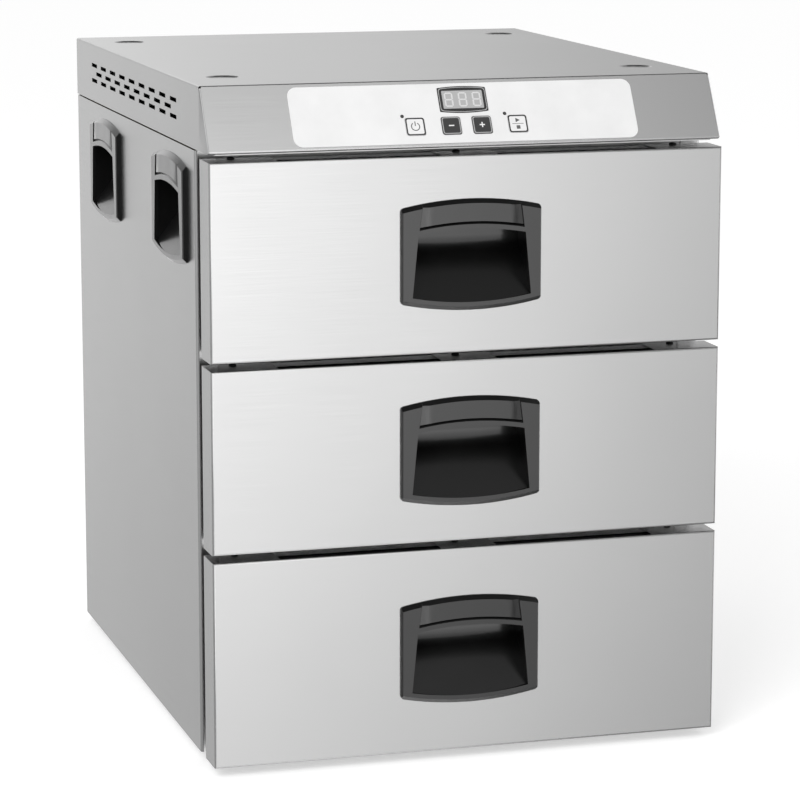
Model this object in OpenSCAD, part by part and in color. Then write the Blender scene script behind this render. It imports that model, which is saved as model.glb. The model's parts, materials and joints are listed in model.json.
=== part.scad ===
// Hot cupboard: a heated stainless cabinet with three pull-out drawers, each for one GN 1/1 food pan.
// Millimetres, +Z up, the drawers open towards -Y, the origin lies on the floor under the middle.

/* [Cabinet] */
// Thickness of an insulated side wall, from the side panel to the cavity
side_wall = 54; // [44:1:84]
// Thickness of the stainless sheet
sheet = 1; // [0.8:0.1:1.2]
// Height of the hood above the side panels
hood_h = 60; // [58:1:75]
// How far the roof edge lies behind the drawer faces
roof_setback = 39; // [34:1:42]
// How far the lower lip of the hood lies behind the drawer faces
lip_setback = 3; // [2:0.5:6]
// Height of the dark seam between the hood and the side panels
seam = 1.5; // [1:0.1:2.5]
// Depth of the insulation behind the cavity
rear_insulation = 36; // [28:1:60]

/* [Feet and stacking seats] */
// Height of a rubber foot
foot_h = 10; // [8:1:16]
// Diameter of a rubber foot
foot_d = 27; // [24:1:28]
// Diameter of a stacking seat in the roof
seat_d = 32; // [31:1:40]
// Depth of a stacking seat
seat_depth = 1.2; // [1:0.1:2.5]
// Distance of feet and seats from the sides of the cabinet
seat_inset_x = 43; // [40:1:60]
// Distance of the front feet and seats behind the drawer faces
seat_front_y = 124; // [100:1:140]
// Distance of the rear feet and seats in front of the back
seat_rear_y = 75; // [70:1:110]

/* [Drawers] */
// Height of the bottom drawer front
bottom_front_h = 198; // [180:1:230]
// Height of the middle drawer front
middle_front_h = 174; // [170:1:230]
// Height of the top drawer front
top_front_h = 186; // [176:1:230]
// Gap above each drawer front
front_gap = 7; // [6:0.5:10]
// Thickness of a drawer front
front_t = 38; // [37:1:46]
// Distance that the seal bridges between a drawer front and the cabinet
seal_gap = 20; // [12:0.5:22]
// Width of the air slot behind the top edge of a drawer front
slot_d = 16; // [12:0.5:17]
// Width of a tab at either end of the air slot
end_tab_w = 65; // [45:1:80]
// Width of the tab in the middle of the air slot
middle_tab_w = 55; // [40:1:80]

/* [Food pans] */
// Length of a pan over its rim
pan_l = 530; // [500:1:540]
// Width of a pan over its rim
pan_w = 325; // [300:1:330]
// Depth of a pan
pan_depth = 100; // [65:1:104]

/* [Pull handles] */
// Width of a handle plate
handle_w = 136; // [132:1:146]
// Height of a handle plate at its middle
handle_h = 105; // [100:1:110]
// Rise of its arched top and bottom edges
handle_rise = 7.5; // [6:0.5:9]
// How far the plate stands out of the panel
handle_proud = 5; // [4.5:0.5:6]
// Depth of the finger pocket, from the face of the plate
pocket_d = 37.5; // [32:0.5:37.5]
// Distance of the middle of the side handles below the hood
carry_drop = 66; // [65:1:95]
// Distance of the front side handles behind the drawer faces
carry_front_y = 160; // [145:1:200]
// Distance of the rear side handles behind the drawer faces
carry_rear_y = 470; // [420:1:500]

/* [Vents] */
// Length of a vent slot in the hood
vent_l = 28; // [20:1:34]
// Height of a vent slot
vent_h = 4; // [2.5:0.5:5]
// Distance from one vent slot to the next
vent_pitch = 48; // [40:1:49]
// Distance from one row of vent slots to the next
vent_row = 8; // [7:0.5:9]

/* [Control panel] */
// Width of the overlay sheet
overlay_w = 336; // [300:1:360]
// Height of the overlay sheet
overlay_h = 61; // [58:1:62]
// Width of a key
key_w = 18.5; // [16:0.5:22]
// Height of a key
key_h = 18; // [15:0.5:18.5]
// Distance of the inner keys from the middle
inner_key_x = 15; // [14:0.5:18]
// Distance of the outer keys from the middle
outer_key_x = 50; // [46:0.5:56]
// Width of the display window
display_w = 47; // [42:0.5:52]
// Height of the display window
display_h = 24; // [21:0.5:25]

/* [Hidden] */
$fn = 64;
levels = ["bottom", "middle", "top"];
key_names = ["power", "minus", "plus", "start"];

// Small fits
run_gap = 0.4;
key_gap = 0.3;
hole_gap = 0.5;

// Sheet bends
bend_r = 2;
side_bend_r = 3;
side_flange = 20;
base_flange = 16;
tab_lap = 20;
nose_taper = 1;
relief_d = 2.4;
relief_depth = 4;

// Telescopic slides, from the wall to the drawer
rail_h = 36;
rail_wall = 1.4;
rail_depth = 11.5;
slide_t = 12.5;
slide_drop = 16;
rail_short = 30;
rail_l = pan_l - rail_short;
rail_start = 3;
middle_x = rail_wall + run_gap;
middle_half = rail_h / 2 - rail_wall - run_gap;
middle_depth = rail_depth - 2 * rail_wall - 2 * run_gap;
rail_lip = 2.4;
inner_x = middle_x + rail_wall + run_gap;
inner_half = middle_half - rail_wall - run_gap;
inner_shoulder = middle_x + middle_depth - rail_wall - run_gap;
inner_neck = inner_half - rail_lip;

// Pan frame
frame_side = 21;
frame_t = 1.5;
frame_front = 8;
frame_rear = 8;
frame_drop = 30;
frame_hole_r = 28;
frame_ledge = 2;
frame_w = pan_w + 2 * frame_side;
frame_l = pan_l + frame_front + frame_rear;
rim_t = 2.5;
pan_wall = 0.9;
pan_rim = 11;
pan_corner = 38;
pan_draft = 5;
pan_low_r = 10;

// Cavity and openings
liner_w = frame_w + 2 * slide_t;
cabinet_w = liner_w + 2 * side_wall;
rear_clear = 8;
liner_d = frame_l - seal_gap + rear_clear - 2 * sheet;
opening_h = pan_depth + 26;
opening_top = 24;
rim_below_opening = 12;
liner_margin = 10;
heater_t = 2;
slab_gap = 0.5;
slab_drop = 5;
seal_margin = 3;
seal_w = 13;

// Distances from front to back
body_d = 4 * sheet + liner_d + rear_insulation;
gland_out = 22;
overall_d = handle_proud + front_t + seal_gap + body_d + gland_out;
y_face = handle_proud - overall_d / 2;
y_front_back = y_face + front_t;
y_body = y_front_back + seal_gap;
y_liner = y_body + 2 * sheet;
y_back = y_body + body_d;
y_slab = y_liner + side_bend_r;
y_slab_end = y_back - 2 * sheet - side_bend_r;
y_lip = y_face + lip_setback;
y_roof = y_face + roof_setback;
y_hood_back = y_back - sheet;

// Heights
front_h = [bottom_front_h, middle_front_h, top_front_h];
z_body = foot_h;
front_z = [
    z_body,
    z_body + bottom_front_h + front_gap,
    z_body + bottom_front_h + middle_front_h + 2 * front_gap
];
z_seam = front_z[2] + top_front_h + front_gap;
z_sides = z_seam - seam;
z_roof = z_seam + hood_h;
function front_top(i) = front_z[i] + front_h[i];
function opening_z(i) = front_top(i) - opening_top - opening_h;
function rim_z(i) = front_top(i) - opening_top - rim_below_opening;
function frame_z(i) = rim_z(i) - rim_t;
function slide_z(i) = frame_z(i) - slide_drop;
z_liner = opening_z(0) - liner_margin;
z_liner_top = opening_z(2) + opening_h + liner_margin;

// Vents, measured from the middle of the hood and from the roof
vent_shift = 25;
vent_drop = 22;

// Feet and seats
seat_x = cabinet_w / 2 - seat_inset_x;
seat_y = [y_face + seat_front_y, y_back - seat_rear_y];

// Sloped control panel
slope_a = atan((roof_setback - lip_setback) / hood_h);
slope_l = hood_h / cos(slope_a);
overlay_t = 0.8;
overlay_v = slope_l / 2;
key_drop = 13;
display_rise = 13.6;
key_v = overlay_v - key_drop;
display_v = overlay_v + display_rise;
key_x = [-outer_key_x, -inner_key_x, inner_key_x, outer_key_x];
lamp_off = 2;
lamp_x = [-outer_key_x - key_w / 2 - lamp_off, outer_key_x - key_w / 2 - lamp_off];
lamp_v = key_v + key_h / 2 + lamp_off;
lamp_d = 3;
key_proud = 0.5;
board_n = 9.6;
board_t = 1.6;
board_w = 150;
board_h = 48;
switch_h = 3.4;
stud_x = board_w / 2 - 5;
stud_v = board_h / 2 - 4;

// Pull handle, in its own frame: x across, y up, z out of the panel
arch_r = (pow(handle_w / 2, 2) + pow(handle_rise, 2)) / (2 * handle_rise);
arch_y = handle_h / 2 - arch_r;
bevel = 4;
side_bevel = 1;
plate_r = 3;
plate_corner_x = handle_w / 2 - plate_r;
plate_corner_y = arch_y + sqrt(pow(arch_r - plate_r, 2) - pow(plate_corner_x, 2));
plate_corner = [plate_corner_x, plate_corner_y];
cap_h = 21;
cap_t = 2.6;
cap_top_half = handle_w / 2 - 21;
cap_low_half = handle_w / 2 - 17;
cap_seam = 0.5;
groove_h = 2.6;
cap_bevel_w = 7;
cap_bevel_t = 1;
bar_h = 7;
bar_t = 4;
rim_low = 8;
pocket_low_half = handle_w / 2 - 9.5;
pocket_top_half = handle_w / 2 - 16;
pocket_deep_half = handle_w / 2 - 12;
pocket_round = 28;
pocket_low_y = rim_low - handle_h / 2;
pocket_slope_h = 50;
pocket_top_y = handle_h / 2 - 13;
cup_wall = 2;
cup_low_y = pocket_low_y + handle_proud * pocket_slope_h / pocket_d - 3;

// Carry handles: distance along the side and the height of their middles
carry_y = [y_face + carry_front_y, y_face + carry_rear_y];
z_carry = z_seam - carry_drop;

// Hood floor and the power board on its pillars
floor_inset = 8;
pillar_d = 6;
pillar_inset = 8;
power_x = 40;
power_w = 150;
power_l = 110;
power_t = 1.6;
power_lift = 8;
power_edge = 12;
block_gap = 6;
terminal_d = 14;
relay_d = 28;
relay_w = (power_w / 2 - power_edge) / 3 - block_gap;
transformer_d = power_l - 2 * power_edge - terminal_d - block_gap;
transformer_w = power_w / 2 - power_edge - block_gap;

// Cable gland in the rear wall of the hood
gland_x = -cabinet_w / 4;
gland_z = z_seam + hood_h / 2;
gland_thread_d = 20;
gland_bore_d = 10;

// Screws of the back panel
screw_d = 4;
screw_l = 6;
screw_head_d = 8;
screw_head_h = 1.8;
screw_inset = 12;
screw_margin = 30;
screw_x = cabinet_w / 2 - screw_inset;
screw_rows = 4;
screw_step = (z_sides - z_body - 2 * screw_margin) / (screw_rows - 1);

// Outlines with rounded corners

function unit(v) = v / norm(v);

// Points of the arc of radius r that rounds the corner b between a and c
function corner(a, b, c, r, steps = 6) =
    r <= 0 ? [b] :
    let (
        to_a = unit(a - b),
        to_c = unit(c - b),
        half = acos(to_a * to_c) / 2,
        middle = b + unit(to_a + to_c) * r / sin(half),
        from = unit(b + to_a * r / tan(half) - middle),
        to = unit(b + to_c * r / tan(half) - middle),
        sweep = acos(from * to)
    )
    [for (k = [0:steps])
        middle + r * (from * sin((1 - k / steps) * sweep) + to * sin(k / steps * sweep)) / sin(sweep)];

function rounded(points, radii) =
    let (n = len(points))
    [for (i = [0:n - 1])
        each corner(points[(i + n - 1) % n], points[i], points[(i + 1) % n], radii[i])];

function box_points(x0, y0, x1, y1) = [[x0, y0], [x1, y0], [x1, y1], [x0, y1]];

module round_rect(w, h, r) {
    polygon(rounded(box_points(-w / 2, -h / 2, w / 2, h / 2), [r, r, r, r]));
}

// A box between two corners
module block(low, high) {
    translate(low) cube(high - low);
}

// Extrudes an outline drawn in (y, z) along x, centred
module along_x(length) {
    translate([-length / 2, 0, 0]) rotate([90, 0, 90]) linear_extrude(length) children();
}

// Extrudes an outline drawn in (x, z) towards the back
module along_y(from, length) {
    translate([0, from + length, 0]) rotate([90, 0, 0]) linear_extrude(length) children();
}

// Puts something on both sides
module both_sides() {
    children();
    mirror([1, 0, 0]) children();
}

// Frame of the sloped panel: x across, y up the slope, z out of it
module on_slope() {
    translate([0, y_lip, z_seam]) rotate([90 - slope_a, 0, 0]) children();
}

// Pull handle

// Plate with arched, bevelled top and bottom edges and bevelled sides
module handle_plate() {
    intersection() {
        rotate([90, 0, 0]) linear_extrude(handle_h, center = true) polygon([
            [-handle_w / 2, 0],
            [handle_w / 2, 0],
            [handle_w / 2, handle_proud - side_bevel],
            [handle_w / 2 - side_bevel, handle_proud],
            [-handle_w / 2 + side_bevel, handle_proud],
            [-handle_w / 2, handle_proud - side_bevel]
        ]);
        handle_arch();
        mirror([0, 1, 0]) handle_arch();
        linear_extrude(handle_proud) difference() {
            square([handle_w, handle_h], center = true);
            for (turn = [0, 1]) both_sides() mirror([0, turn, 0]) plate_corner_waste();
        }
    }
}

// What is cut from a corner of the plate to round it, between its side and its arched edge
module plate_corner_waste() {
    reach = 4 * plate_r;
    difference() {
        polygon([
            plate_corner,
            plate_corner + [reach, 0],
            plate_corner + [reach, reach],
            plate_corner + reach * unit(plate_corner - [0, arch_y])
        ]);
        translate(plate_corner) circle(plate_r);
    }
}

// The wide disc whose rim gives an arched edge with its bevel
module handle_arch() {
    translate([0, arch_y, 0]) rotate_extrude($fn = 360) polygon([
        [0, 0],
        [arch_r, 0],
        [arch_r, handle_proud - bevel],
        [arch_r - bevel, handle_proud],
        [0, handle_proud]
    ]);
}

// Outline of the pocket's mouth: a trapezoid between two arcs
module mouth() {
    intersection() {
        polygon([
            [-pocket_low_half, pocket_low_y],
            [pocket_low_half, pocket_low_y],
            [pocket_top_half, handle_h / 2 - cap_h - bar_h],
            [-pocket_top_half, handle_h / 2 - cap_h - bar_h]
        ]);
        translate([0, arch_y]) circle(arch_r - cap_h - bar_h, $fn = 360);
        translate([0, -arch_y]) circle(arch_r - rim_low, $fn = 360);
    }
}

// Side profile of the pocket in (y, z), grown by a wall thickness, from a front level inwards
function pocket_profile(wall, front) =
    let (
        low = [pocket_low_y - wall + (handle_proud - front) * pocket_slope_h / pocket_d, front],
        deep = [pocket_low_y - wall + pocket_slope_h, handle_proud - pocket_d - wall],
        top = [pocket_top_y + wall, handle_proud - pocket_d - wall]
    )
    concat([low], corner(low, deep, top, pocket_round + wall, 10), [top, [pocket_top_y + wall, front]]);

// Sides of the pocket behind the plate, closer together at its top
module pocket_sides() {
    polygon([
        [-pocket_low_half, pocket_low_y],
        [pocket_low_half, pocket_low_y],
        [pocket_deep_half, pocket_top_y + 1],
        [-pocket_deep_half, pocket_top_y + 1]
    ]);
}

// Outline of the cap between its slanted seams, grown at its sides and its lower edge
module cap_outline(side, low) {
    difference() {
        polygon([
            [-cap_low_half - side, handle_h / 2 - cap_h - 8],
            [cap_low_half + side, handle_h / 2 - cap_h - 8],
            [cap_top_half + side, handle_h / 2 + 1],
            [-cap_top_half - side, handle_h / 2 + 1]
        ]);
        translate([0, arch_y]) circle(arch_r - cap_h - low, $fn = 360);
    }
}

// Moulded plate with the finger pocket behind it
module pull_handle() {
    difference() {
        union() {
            handle_plate();
            along_x(2 * (pocket_low_half + cup_wall)) polygon(pocket_profile(cup_wall, 0));
        }
        intersection() {
            along_x(2 * handle_w) polygon(pocket_profile(0, handle_proud - bar_t));
            translate([0, 0, -pocket_d]) linear_extrude(pocket_d + handle_proud) pocket_sides();
        }
        intersection() {
            along_x(2 * handle_w) polygon(pocket_profile(0, handle_proud + 1));
            translate([0, 0, -1]) linear_extrude(handle_proud + 3) mouth();
        }
        translate([0, 0, handle_proud - cap_t]) linear_extrude(cap_t + 1) cap_outline(cap_seam, 0);
        grip_groove();
    }
}

// Groove along the lower edge of the cap, whose lower side slopes out to the bar
module grip_groove() {
    r = arch_r - cap_h;
    intersection() {
        translate([0, arch_y, handle_proud]) rotate_extrude($fn = 360) polygon([
            [r, -cap_t],
            [r + 1, -cap_t],
            [r + 1, 1],
            [r - groove_h * (1 + 1 / cap_t), 1]
        ]);
        translate([0, 0, handle_proud - cap_t - 1]) linear_extrude(cap_t + 3)
            cap_outline(cap_seam, 2 * groove_h);
    }
}

// Cover of the upper grip bar, with sloped ends
module grip_cap() {
    slant = atan((cap_low_half - cap_top_half) / (cap_h + 9));
    difference() {
        intersection() {
            handle_plate();
            translate([0, 0, handle_proud - cap_t]) linear_extrude(cap_t + 1) cap_outline(0, 0);
        }
        both_sides() translate([cap_low_half, handle_h / 2 - cap_h - 8, handle_proud]) rotate([90, 0, slant])
            linear_extrude(3 * cap_h, center = true) polygon([
                [1, -cap_bevel_t * (1 + 1 / cap_bevel_w)],
                [1, cap_bevel_t / cap_bevel_w],
                [-cap_bevel_w - 1, cap_bevel_t / cap_bevel_w]
            ]);
    }
}

// Space behind a panel that a handle's cup needs, with a gap round it
module cup_space(gap) {
    along_x(2 * (pocket_low_half + cup_wall + gap)) polygon([
        [cup_low_y - gap, 1],
        [cup_low_y - gap, handle_proud - pocket_d - cup_wall - gap],
        [pocket_top_y + cup_wall + gap, handle_proud - pocket_d - cup_wall - gap],
        [pocket_top_y + cup_wall + gap, 1]
    ]);
}

module on_front(i) {
    translate([0, y_face, front_z[i] + front_h[i] / 2]) rotate([90, 0, 0]) children();
}

// Both carry handles of the right side (1) or the left side (-1)
module on_side(s) {
    for (y = carry_y)
        translate([s * cabinet_w / 2, y, z_carry]) rotate([90, 0, s * 90]) children();
}

// Cabinet

module side_panel(s) {
    x0 = cabinet_w / 2 - side_flange;
    x1 = cabinet_w / 2;
    y1 = y_back - sheet;
    turned = s < 0 ? 1 : 0;
    color("silver") difference() {
        mirror([turned, 0, 0]) translate([0, 0, z_body]) linear_extrude(z_sides - z_body) difference() {
            polygon(rounded(box_points(x0, y_body, x1, y1), [0, side_bend_r, side_bend_r, 0]));
            polygon(rounded(
                box_points(x0 - 1, y_body + sheet, x1 - sheet, y1 - sheet),
                [0, side_bend_r - sheet, side_bend_r - sheet, 0]
            ));
        }
        on_side(s) cup_space(hole_gap);
        screw_holes();
    }
}

module back_panel() {
    x = cabinet_w / 2 - side_bend_r;
    color("silver") difference() {
        block([-x, y_back - sheet, z_body], [x, y_back, z_sides]);
        screw_holes();
    }
}

module at_screws() {
    for (k = [0:screw_rows - 1])
        both_sides() translate([screw_x, y_back, z_body + screw_margin + k * screw_step]) rotate([90, 0, 0])
            children();
}

module screw_holes() {
    at_screws() translate([0, 0, -1]) cylinder(h = 3 * sheet + 2, d = screw_d + 0.2);
}

module case_screws() {
    color("gainsboro") at_screws() union() {
        cylinder(h = screw_l, d = screw_d);
        rotate([180, 0, 0]) cylinder(h = screw_head_h, d1 = screw_head_d, d2 = screw_head_d - 3);
    }
}

module base_pan() {
    x = cabinet_w / 2 - sheet;
    color("silver") difference() {
        block([-x, y_slab, z_body], [x, y_slab_end, z_body + base_flange]);
        block(
            [-x + sheet, y_slab + sheet, z_body + sheet],
            [x - sheet, y_slab_end - sheet, z_body + base_flange + 1]
        );
    }
}

module front_frame() {
    x = cabinet_w / 2 - side_bend_r;
    color("silver") difference() {
        block([-x, y_body + sheet, z_body], [x, y_liner, z_sides]);
        for (i = [0:2])
            translate([0, 0, opening_z(i) + opening_h / 2])
                along_y(y_body, 3 * sheet) round_rect(liner_w, opening_h, 3);
    }
}

module cavity_liner() {
    x = liner_w / 2;
    color("gainsboro") difference() {
        block(
            [-x - sheet, y_liner, z_liner - sheet],
            [x + sheet, y_liner + liner_d + sheet, z_liner_top + sheet]
        );
        block([-x, y_liner - 1, z_liner], [x, y_liner + liner_d, z_liner_top]);
    }
}

// Slabs at the sides, with room for the carry handles, and above, below and behind the cavity
module insulation_slabs() {
    x = liner_w / 2 + sheet + heater_t;
    low = z_body + sheet;
    color("khaki") {
        for (s = [-1, 1]) difference() {
            mirror([s < 0 ? 1 : 0, 0, 0]) block(
                [x + slab_gap, y_slab + sheet, low],
                [cabinet_w / 2 - 2 * sheet, y_slab_end - sheet, z_sides - slab_drop]
            );
            on_side(s) cup_space(1);
        }
        block([-x, y_slab + sheet, low], [x, y_slab_end - sheet, z_liner - sheet - heater_t]);
        block([-x, y_slab, z_liner_top + sheet], [x, y_slab_end - sheet, z_sides]);
        block(
            [-x, y_liner + liner_d + sheet, z_liner - sheet - heater_t + slab_gap],
            [x, y_slab_end - sheet, z_liner_top + sheet - slab_gap]
        );
    }
}

// Flat heating mats on the outside of the cavity: left, right and below
module heater_mats() {
    edge = 30;
    x = liner_w / 2 + sheet;
    y0 = y_liner + edge;
    y1 = y_liner + liner_d - edge;
    color("orangered") {
        both_sides() block([x, y0, z_liner + edge], [x + heater_t, y1, z_liner_top - edge]);
        block([-x + edge, y0, z_liner - sheet - heater_t], [x - edge, y1, z_liner - sheet]);
    }
}

// Probe along the left wall, in the free height between two pairs of slides
module temperature_probe() {
    wall_gap = 6;
    length = 110;
    color("gray") translate([-liner_w / 2, y_liner + liner_d / 2, (slide_z(1) + slide_z(2)) / 2]) union() {
        translate([wall_gap, 0, 0]) rotate([90, 0, 0]) cylinder(h = length, d = 5, center = true);
        for (y = [-length / 3, length / 3]) translate([0, y - 4, -4]) cube([wall_gap + 1, 8, 8]);
    }
}

module rubber_feet() {
    color("dimgray") for (x = [-seat_x, seat_x], y = seat_y)
        translate([x, y, 0]) cylinder(h = foot_h, d1 = foot_d - 3, d2 = foot_d);
}

// Hood

// Outline of the hood in (y, z), moved inwards by a wall thickness
function hood_points(wall) =
    let (slope_wall = wall / cos(slope_a))
    [
        [y_lip + slope_wall + wall * tan(slope_a), z_seam + wall],
        [y_hood_back - wall, z_seam + wall],
        [y_hood_back - wall, z_roof - wall],
        [y_roof + slope_wall - wall * tan(slope_a), z_roof - wall]
    ];

// Hood with rounded side edges. The sides of its nose lean inwards a little
module hood_shape(wall) {
    r = bend_r - wall + 0.01;
    x = cabinet_w / 2 - wall;
    l = y_hood_back - y_lip;
    intersection() {
        along_x(2 * x) polygon(rounded(hood_points(wall), [r, 0, r, r]));
        along_y(y_lip, l) polygon(rounded(box_points(-x, z_seam, x, z_roof - wall), [0, 0, r, r]));
        on_slope() rotate([90, 0, 0]) linear_extrude(4 * l, center = true)
            polygon(rounded(box_points(-x, -2 * l, x, -wall), [0, 0, r, r]));
        translate([0, 0, z_seam]) linear_extrude(hood_h) polygon([
            [-x, y_hood_back],
            [-x, y_roof],
            [nose_taper - x, y_lip],
            [x - nose_taper, y_lip],
            [x, y_roof],
            [x, y_hood_back]
        ]);
    }
}

// Small round corner reliefs where the bends of the sloped panel meet
module corner_reliefs() {
    for (v = [relief_d / 2, slope_l - relief_d / 2])
        both_sides() translate([cabinet_w / 2 - relief_d / 2, v, -relief_depth])
            cylinder(h = relief_depth + 1, d = relief_d);
}

module vent_slots() {
    rows = [9, 8, 9];
    middle_y = (y_face + y_hood_back) / 2 + vent_shift;
    for (row = [0:2], k = [0:rows[row] - 1])
        translate([middle_y + (k - (rows[row] - 1) / 2) * vent_pitch, z_roof - vent_drop - row * vent_row])
            square([vent_l, vent_h], center = true);
}

module at_seats() {
    for (x = [-seat_x, seat_x], y = seat_y) translate([x, y, z_roof]) children();
}

// Holes of the sloped panel for keys, lamps and the display, grown by a gap
module panel_holes(gap) {
    for (x = key_x) translate([x, key_v]) round_rect(key_w + 2 * gap, key_h + 2 * gap, 2.5);
    for (x = lamp_x) translate([x, lamp_v]) circle(d = lamp_d + 2 * gap);
    translate([0, display_v]) display_outline(gap);
}

// Display outline with slightly bowed long sides
module display_outline(gap) {
    bow = 1.6;
    r = (pow(display_w / 2, 2) + bow * bow) / (2 * bow);
    intersection() {
        round_rect(display_w + 2 * gap, display_h + 2 * bow + 2 * gap, 3);
        for_bow(r, display_h / 2 + bow + gap);
    }
}

module for_bow(r, top) {
    intersection() {
        translate([0, top - r]) circle(r, $fn = 180);
        translate([0, r - top]) circle(r, $fn = 180);
    }
}

module hood() {
    opening_edge = 22;
    color("silver") difference() {
        union() {
            difference() {
                hood_shape(0);
                hood_shape(sheet);
                block(
                    [-cabinet_w / 2 + opening_edge, y_body, z_seam - 1],
                    [cabinet_w / 2 - opening_edge, y_hood_back - opening_edge, z_seam + sheet + 1]
                );
            }
            at_seats() mirror([0, 0, 1]) cylinder(h = seat_depth + sheet, d = seat_d + 2);
            on_slope() for (x = [-stud_x, stud_x], v = [-stud_v, stud_v])
                translate([x, overlay_v + v, -board_n + board_t])
                    cylinder(h = board_n - board_t - sheet / 2, d = 5);
        }
        at_seats() translate([0, 0, -seat_depth])
            cylinder(h = seat_depth + 1, d1 = seat_d - 2 * seat_depth, d2 = seat_d + 2);
        along_x(cabinet_w + 2) vent_slots();
        on_slope() translate([0, 0, -3]) linear_extrude(6) panel_holes(hole_gap);
        on_slope() corner_reliefs();
        translate([gland_x, y_hood_back + 1, gland_z]) rotate([90, 0, 0])
            cylinder(h = 4, d = gland_thread_d + 0.4);
    }
}

// Plate under the hood, with pillars for the power board
module hood_floor() {
    x = cabinet_w / 2 - floor_inset;
    color("gainsboro") union() {
        block([-x, y_lip + floor_inset, z_sides], [x, y_hood_back - floor_inset, z_seam]);
        at_power_board()
            for (x = [pillar_inset, power_w - pillar_inset])
                for (y = [pillar_inset, power_l - pillar_inset])
                    translate([x, y, -power_lift]) cylinder(h = power_lift, d = pillar_d);
    }
}

module at_power_board() {
    translate([power_x, y_body + body_d / 2, z_seam + power_lift]) children();
}

// Board with transformer, three relays and a row of terminals
module power_board() {
    color("darkgreen") at_power_board() union() {
        cube([power_w, power_l, power_t]);
        translate([power_edge, power_l - power_edge - transformer_d, 0])
            cube([transformer_w, transformer_d, hood_h / 2 + power_t]);
        for (k = [0:2])
            translate([power_w / 2 + k * (relay_w + block_gap), power_l - power_edge - relay_d, 0])
                cube([relay_w, relay_d, hood_h / 3 + power_t]);
        translate([power_edge, power_edge, 0])
            cube([power_w - 2 * power_edge, terminal_d, hood_h / 4 + power_t]);
    }
}

// Gland with its lock nut inside the hood and its domed nut outside
module cable_gland() {
    r = gland_bore_d / 2;
    thread_r = gland_thread_d / 2;
    color("dimgray") translate([gland_x, y_hood_back, gland_z])
        rotate([-90, 0, 0]) rotate_extrude() polygon([
        [r, -12],
        [thread_r, -12],
        [thread_r, -sheet - 5],
        [thread_r + 4, -sheet - 5],
        [thread_r + 4, -sheet],
        [thread_r, -sheet],
        [thread_r, 0],
        [thread_r + 3.5, 0],
        [thread_r + 3.5, 6],
        [thread_r + 2, 6.5],
        [thread_r + 2, sheet + gland_out - 6],
        [r + 2, sheet + gland_out],
        [r, sheet + gland_out]
    ]);
}

// Controls

module control_overlay() {
    color("white") on_slope() linear_extrude(overlay_t) difference() {
        translate([0, overlay_v]) round_rect(overlay_w, overlay_h, 9);
        panel_holes(key_gap);
    }
}

module display_window() {
    color("black") on_slope() translate([0, display_v, -sheet]) linear_extrude(sheet + overlay_t + 0.2)
        display_outline(0);
}

// Three-digit block between the board and the window
module display_module() {
    w = display_w - 5;
    h = display_h - 6;
    color("dimgray") on_slope() translate([-w / 2, display_v - h / 2, -board_n + board_t])
        cube([w, h, board_n - board_t - sheet]);
}

// Board with a push switch behind each key
module control_board() {
    color("seagreen") on_slope() translate([0, 0, -board_n]) union() {
        translate([-board_w / 2, overlay_v - board_h / 2, 0]) cube([board_w, board_h, board_t]);
        for (x = key_x) translate([x - 3, key_v - 3, board_t / 2]) cube([6, 6, board_t / 2 + switch_h]);
    }
}

module indicator_lamps() {
    color("dimgray") on_slope() for (x = lamp_x)
        translate([x, lamp_v, -board_n + board_t])
            cylinder(h = board_n - board_t + overlay_t + 0.2, d = lamp_d);
}

// Key cap with a wider foot that keeps it behind the panel
module key(k) {
    foot_top = sheet + 0.4;
    foot_low = board_n - board_t - switch_h - 0.8;
    color(k == 1 || k == 2 ? "dimgray" : "white") on_slope() translate([key_x[k], key_v, 0]) union() {
        translate([0, 0, -foot_low]) linear_extrude(foot_low + overlay_t + key_proud)
            round_rect(key_w, key_h, 2.5);
        translate([0, 0, -foot_low]) linear_extrude(foot_low - foot_top)
            round_rect(key_w + 3, key_h + 3, 2.5);
    }
}

// Telescopic slides. Profiles lie in (x, z), x from the cavity wall inwards, centred in height

// Channel with lips that hold what runs inside it
module channel_profile(x0, half, depth, lip) {
    difference() {
        translate([x0, -half]) square([depth, 2 * half]);
        translate([x0 + rail_wall, -half + rail_wall])
            square([depth - 2 * rail_wall, 2 * (half - rail_wall)]);
        translate([x0 + rail_wall, -half + rail_wall + lip])
            square([depth, 2 * (half - rail_wall - lip)]);
    }
}

// Hat profile: two feet inside the middle member, a neck through its lips and a web on the drawer
module hat_profile() {
    difference() {
        union() {
            translate([inner_x, -inner_half]) square([inner_shoulder - inner_x, 2 * inner_half]);
            translate([inner_x, -inner_neck]) square([slide_t - inner_x, 2 * inner_neck]);
        }
        translate([inner_x - 1, -inner_half + rail_wall])
            square([inner_shoulder - inner_x + 1 - rail_wall, 2 * (inner_half - rail_wall)]);
        translate([inner_x - 1, -inner_neck + rail_wall])
            square([slide_t - inner_x + 1 - rail_wall, 2 * (inner_neck - rail_wall)]);
    }
}

// One kind of rail on both sides of a drawer
module rail_pair(i) {
    both_sides() translate([-liner_w / 2, 0, slide_z(i)]) along_y(y_liner + rail_start, rail_l) children();
}

module outer_rails(i) {
    color("lightgray") rail_pair(i) channel_profile(0, rail_h / 2, rail_depth, rail_lip);
}

module middle_rails(i) {
    color("lightgray") rail_pair(i) channel_profile(middle_x, middle_half, middle_depth, rail_lip);
}

module inner_rails(i) {
    color("lightgray") rail_pair(i) hat_profile();
}

// Drawers

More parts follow.
